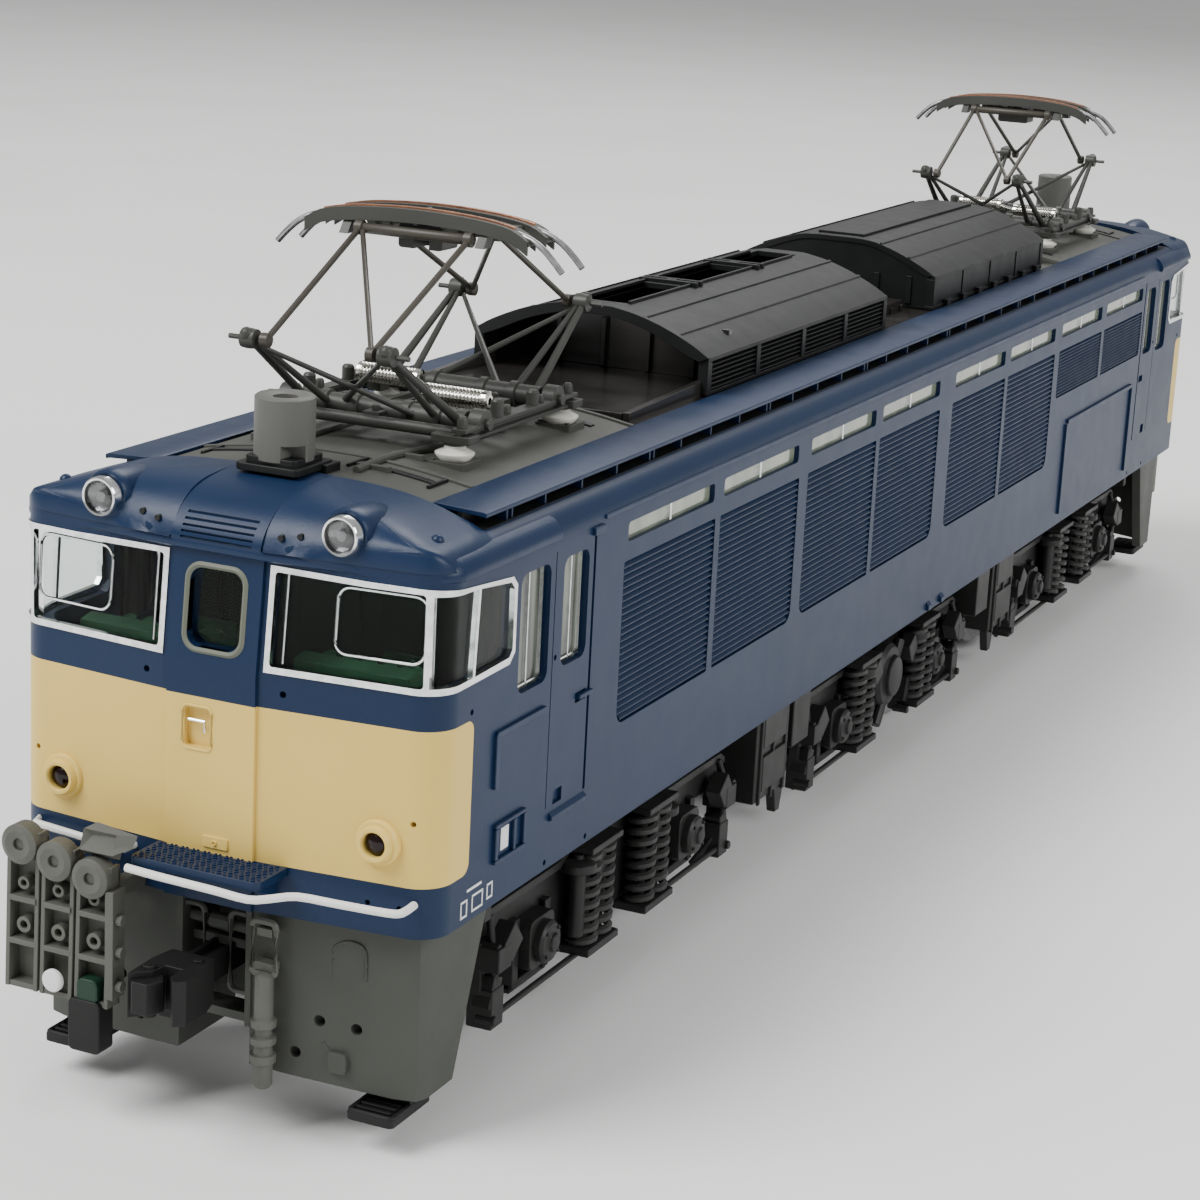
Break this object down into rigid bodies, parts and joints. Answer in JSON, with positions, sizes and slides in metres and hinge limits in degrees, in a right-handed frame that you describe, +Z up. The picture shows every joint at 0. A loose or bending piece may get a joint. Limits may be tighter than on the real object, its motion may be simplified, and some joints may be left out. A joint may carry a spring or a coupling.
{
  "type": "model electric locomotive",
  "caption": "Scale model electric locomotive: box body with two cabs, three two-axle bogies, geared drive and two folding diamond pantographs.",
  "frame": {"origin": "middle of the body on the plane where the wheel flanges rest", "axes": "+Y along the body towards the far cab, +X to the right seen from the near cab looking along +Y, +Z up"},
  "size_m": [0.0358, 0.2282, 0.0635],
  "materials": {
    "navy_paint": "semi-gloss navy, moulded",
    "cream_paint": "satin cream paint",
    "clear_glazing": "clear, faintly green",
    "cab_green": "matt",
    "bright_trim": "bright plated",
    "red_lens": "dark red, clear gloss",
    "roof_grey": "satin grey",
    "matt_black": "matt black",
    "pantograph_grey": "painted grey metal",
    "copper_strip": "bare copper strip",
    "insulator_white": "glossy off-white",
    "diecast": "blackened die-cast",
    "board": "green laminate",
    "steel": "turned",
    "brass": "turned",
    "skirt_grey": "matt grey",
    "white_plastic": "white paint"
  },
  "bodies": {
    "locomotive": {"body_shell": "navy_paint", "side_glazing_left": "clear_glazing", "side_glazing_right": "clear_glazing", "roof_walkway_left": "navy_paint", "roof_walkway_right": "navy_paint", "vent_cover_large": "matt_black", "vent_cover_small": "matt_black", "vent_trough": "matt_black", "chassis_frame": "diecast", "circuit_board": "board", "motor": "steel", "cab_glazing_near": "clear_glazing", "cab_interior_near": "cab_green", "headlight_unit_near": "bright_trim", "tail_lamp_unit_near": "red_lens", "roof_panel_near": "roof_grey", "whistle_near": "roof_grey", "skirt_near": "skirt_grey", "jumper_rack_near": "skirt_grey", "front_handrail_near": "white_plastic", "pantograph_near_base": "pantograph_grey", "pantograph_near_springs": "bright_trim", "cab_glazing_far": "clear_glazing", "cab_interior_far": "cab_green", "headlight_unit_far": "bright_trim", "tail_lamp_unit_far": "red_lens", "roof_panel_far": "roof_grey", "whistle_far": "roof_grey", "skirt_far": "skirt_grey", "jumper_rack_far": "skirt_grey", "front_handrail_far": "white_plastic", "pantograph_far_base": "pantograph_grey", "pantograph_far_springs": "bright_trim"},
    "motor_shaft": {"motor_shaft": "brass"},
    "cardan_shaft_near": {"cardan_shaft_near": "matt_black"},
    "bogie_near": {"bogie_frame_near": "matt_black"},
    "worm_shaft_near": {"worm_shaft_near": "brass"},
    "wheelset_near_outer": {"wheelset_near_outer": "steel"},
    "wheelset_near_inner": {"wheelset_near_inner": "steel"},
    "coupler_near": {"coupler_near": "matt_black"},
    "pantograph_near_lower_arm_outer": {"pantograph_near_lower_arm_outer": "pantograph_grey"},
    "pantograph_near_lower_arm_inner": {"pantograph_near_lower_arm_inner": "pantograph_grey"},
    "pantograph_near_upper_arm_outer": {"pantograph_near_upper_arm_outer": "pantograph_grey"},
    "pantograph_near_upper_arm_inner": {"pantograph_near_upper_arm_inner": "pantograph_grey"},
    "pantograph_near_head": {"pantograph_near_head": "pantograph_grey"},
    "cardan_shaft_far": {"cardan_shaft_far": "matt_black"},
    "bogie_far": {"bogie_frame_far": "matt_black"},
    "worm_shaft_far": {"worm_shaft_far": "brass"},
    "wheelset_far_outer": {"wheelset_far_outer": "steel"},
    "wheelset_far_inner": {"wheelset_far_inner": "steel"},
    "coupler_far": {"coupler_far": "matt_black"},
    "pantograph_far_lower_arm_outer": {"pantograph_far_lower_arm_outer": "pantograph_grey"},
    "pantograph_far_lower_arm_inner": {"pantograph_far_lower_arm_inner": "pantograph_grey"},
    "pantograph_far_upper_arm_outer": {"pantograph_far_upper_arm_outer": "pantograph_grey"},
    "pantograph_far_upper_arm_inner": {"pantograph_far_upper_arm_inner": "pantograph_grey"},
    "pantograph_far_head": {"pantograph_far_head": "pantograph_grey"},
    "bolster": {"bolster_middle": "steel"},
    "bogie_middle": {"bogie_frame_middle": "matt_black"},
    "wheelset_middle_front": {"wheelset_middle_front": "steel"},
    "wheelset_middle_rear": {"wheelset_middle_rear": "steel"}
  },
  "joints": [
    {"name": "motor_spin", "type": "hinge", "parent": "locomotive", "child": "motor_shaft", "pos_m": [0, 0, 0.03], "axis": [0, 1, 0], "continuous": true},
    {"name": "cardan_near_spin", "type": "hinge", "parent": "locomotive", "child": "cardan_shaft_near", "pos_m": [0, -0.04, 0.03], "axis": [0, 1, 0], "continuous": true},
    {"name": "bogie_near_swivel", "type": "hinge", "parent": "locomotive", "child": "bogie_near", "pos_m": [0, -0.0665, 0.012], "axis": [0, 0, 1], "range_deg": [-6, 6]},
    {"name": "worm_near_spin", "type": "hinge", "parent": "bogie_near", "child": "worm_shaft_near", "pos_m": [0, -0.0665, 0.03], "axis": [0, 1, 0], "continuous": true},
    {"name": "wheelset_near_outer_roll", "type": "hinge", "parent": "bogie_near", "child": "wheelset_near_outer", "pos_m": [0, -0.081, 0.0079], "axis": [1, 0, 0], "continuous": true},
    {"name": "wheelset_near_inner_roll", "type": "hinge", "parent": "bogie_near", "child": "wheelset_near_inner", "pos_m": [0, -0.052, 0.0079], "axis": [1, 0, 0], "continuous": true},
    {"name": "coupler_near_swing", "type": "hinge", "parent": "locomotive", "child": "coupler_near", "pos_m": [0, -0.097, 0.0115], "axis": [0, 0, 1], "range_deg": [-8, 8]},
    {"name": "pantograph_near_fold", "type": "hinge", "parent": "locomotive", "child": "pantograph_near_lower_arm_outer", "pos_m": [0, -0.0831, 0.0485], "axis": [-1, 0, 0], "range_deg": [-19.5, 13]},
    {"name": "pantograph_near_lower_inner", "type": "hinge", "parent": "locomotive", "child": "pantograph_near_lower_arm_inner", "pos_m": [0, -0.0707, 0.0485], "axis": [1, 0, 0], "range_deg": [-19.5, 13]},
    {"name": "pantograph_near_knee_outer", "type": "hinge", "parent": "pantograph_near_lower_arm_outer", "child": "pantograph_near_upper_arm_outer", "pos_m": [0, -0.0931, 0.05465], "axis": [1, 0, 0], "range_deg": [-38.1, 25.4]},
    {"name": "pantograph_near_knee_inner", "type": "hinge", "parent": "pantograph_near_lower_arm_inner", "child": "pantograph_near_upper_arm_inner", "pos_m": [0, -0.0607, 0.05465], "axis": [-1, 0, 0], "range_deg": [-38.1, 25.4]},
    {"name": "pantograph_near_head_level", "type": "hinge", "parent": "pantograph_near_upper_arm_outer", "child": "pantograph_near_head", "pos_m": [0, -0.0792, 0.0615], "axis": [-1, 0, 0], "range_deg": [-18.6, 12.4]},
    {"name": "cardan_far_spin", "type": "hinge", "parent": "locomotive", "child": "cardan_shaft_far", "pos_m": [0, 0.04, 0.03], "axis": [0, 1, 0], "continuous": true},
    {"name": "bogie_far_swivel", "type": "hinge", "parent": "locomotive", "child": "bogie_far", "pos_m": [0, 0.0665, 0.012], "axis": [0, 0, 1], "range_deg": [-6, 6]},
    {"name": "worm_far_spin", "type": "hinge", "parent": "bogie_far", "child": "worm_shaft_far", "pos_m": [0, 0.0665, 0.03], "axis": [0, 1, 0], "continuous": true},
    {"name": "wheelset_far_outer_roll", "type": "hinge", "parent": "bogie_far", "child": "wheelset_far_outer", "pos_m": [0, 0.081, 0.0079], "axis": [1, 0, 0], "continuous": true},
    {"name": "wheelset_far_inner_roll", "type": "hinge", "parent": "bogie_far", "child": "wheelset_far_inner", "pos_m": [0, 0.052, 0.0079], "axis": [1, 0, 0], "continuous": true},
    {"name": "coupler_far_swing", "type": "hinge", "parent": "locomotive", "child": "coupler_far", "pos_m": [0, 0.097, 0.0115], "axis": [0, 0, 1], "range_deg": [-8, 8]},
    {"name": "pantograph_far_fold", "type": "hinge", "parent": "locomotive", "child": "pantograph_far_lower_arm_outer", "pos_m": [0, 0.0831, 0.0485], "axis": [1, 0, 0], "range_deg": [-19.5, 13]},
    {"name": "pantograph_far_lower_inner", "type": "hinge", "parent": "locomotive", "child": "pantograph_far_lower_arm_inner", "pos_m": [0, 0.0707, 0.0485], "axis": [-1, 0, 0], "range_deg": [-19.5, 13]},
    {"name": "pantograph_far_knee_outer", "type": "hinge", "parent": "pantograph_far_lower_arm_outer", "child": "pantograph_far_upper_arm_outer", "pos_m": [0, 0.0931, 0.05465], "axis": [-1, 0, 0], "range_deg": [-38.1, 25.4]},
    {"name": "pantograph_far_knee_inner", "type": "hinge", "parent": "pantograph_far_lower_arm_inner", "child": "pantograph_far_upper_arm_inner", "pos_m": [0, 0.0607, 0.05465], "axis": [1, 0, 0], "range_deg": [-38.1, 25.4]},
    {"name": "pantograph_far_head_level", "type": "hinge", "parent": "pantograph_far_upper_arm_outer", "child": "pantograph_far_head", "pos_m": [0, 0.0792, 0.0615], "axis": [1, 0, 0], "range_deg": [-18.6, 12.4]},
    {"name": "bolster_slide", "type": "slide", "parent": "locomotive", "child": "bolster", "axis": [1, 0, 0], "range_m": [-0.003, 0.003]},
    {"name": "bogie_middle_swivel", "type": "hinge", "parent": "bolster", "child": "bogie_middle", "pos_m": [0, 0, 0.012], "axis": [0, 0, 1], "range_deg": [-4, 4]},
    {"name": "wheelset_middle_front_roll", "type": "hinge", "parent": "bogie_middle", "child": "wheelset_middle_front", "pos_m": [0, -0.0145, 0.0079], "axis": [1, 0, 0], "continuous": true},
    {"name": "wheelset_middle_rear_roll", "type": "hinge", "parent": "bogie_middle", "child": "wheelset_middle_rear", "pos_m": [0, 0.0145, 0.0079], "axis": [1, 0, 0], "continuous": true}
  ],
  "couplings": [
    {"joint": "cardan_near_spin", "follows": "motor_spin", "ratio": 1},
    {"joint": "worm_near_spin", "follows": "motor_spin", "ratio": 1},
    {"joint": "wheelset_near_outer_roll", "follows": "motor_spin", "ratio": 0.06667},
    {"joint": "wheelset_near_inner_roll", "follows": "motor_spin", "ratio": 0.06667},
    {"joint": "pantograph_near_lower_inner", "follows": "pantograph_near_fold", "ratio": 1},
    {"joint": "pantograph_near_knee_outer", "follows": "pantograph_near_fold", "ratio": 1.95},
    {"joint": "pantograph_near_knee_inner", "follows": "pantograph_near_fold", "ratio": 1.95},
    {"joint": "pantograph_near_head_level", "follows": "pantograph_near_fold", "ratio": 0.95},
    {"joint": "cardan_far_spin", "follows": "motor_spin", "ratio": 1},
    {"joint": "worm_far_spin", "follows": "motor_spin", "ratio": 1},
    {"joint": "wheelset_far_outer_roll", "follows": "motor_spin", "ratio": 0.06667},
    {"joint": "wheelset_far_inner_roll", "follows": "motor_spin", "ratio": 0.06667},
    {"joint": "pantograph_far_lower_inner", "follows": "pantograph_far_fold", "ratio": 1},
    {"joint": "pantograph_far_knee_outer", "follows": "pantograph_far_fold", "ratio": 1.95},
    {"joint": "pantograph_far_knee_inner", "follows": "pantograph_far_fold", "ratio": 1.95},
    {"joint": "pantograph_far_head_level", "follows": "pantograph_far_fold", "ratio": 0.95}
  ]
}
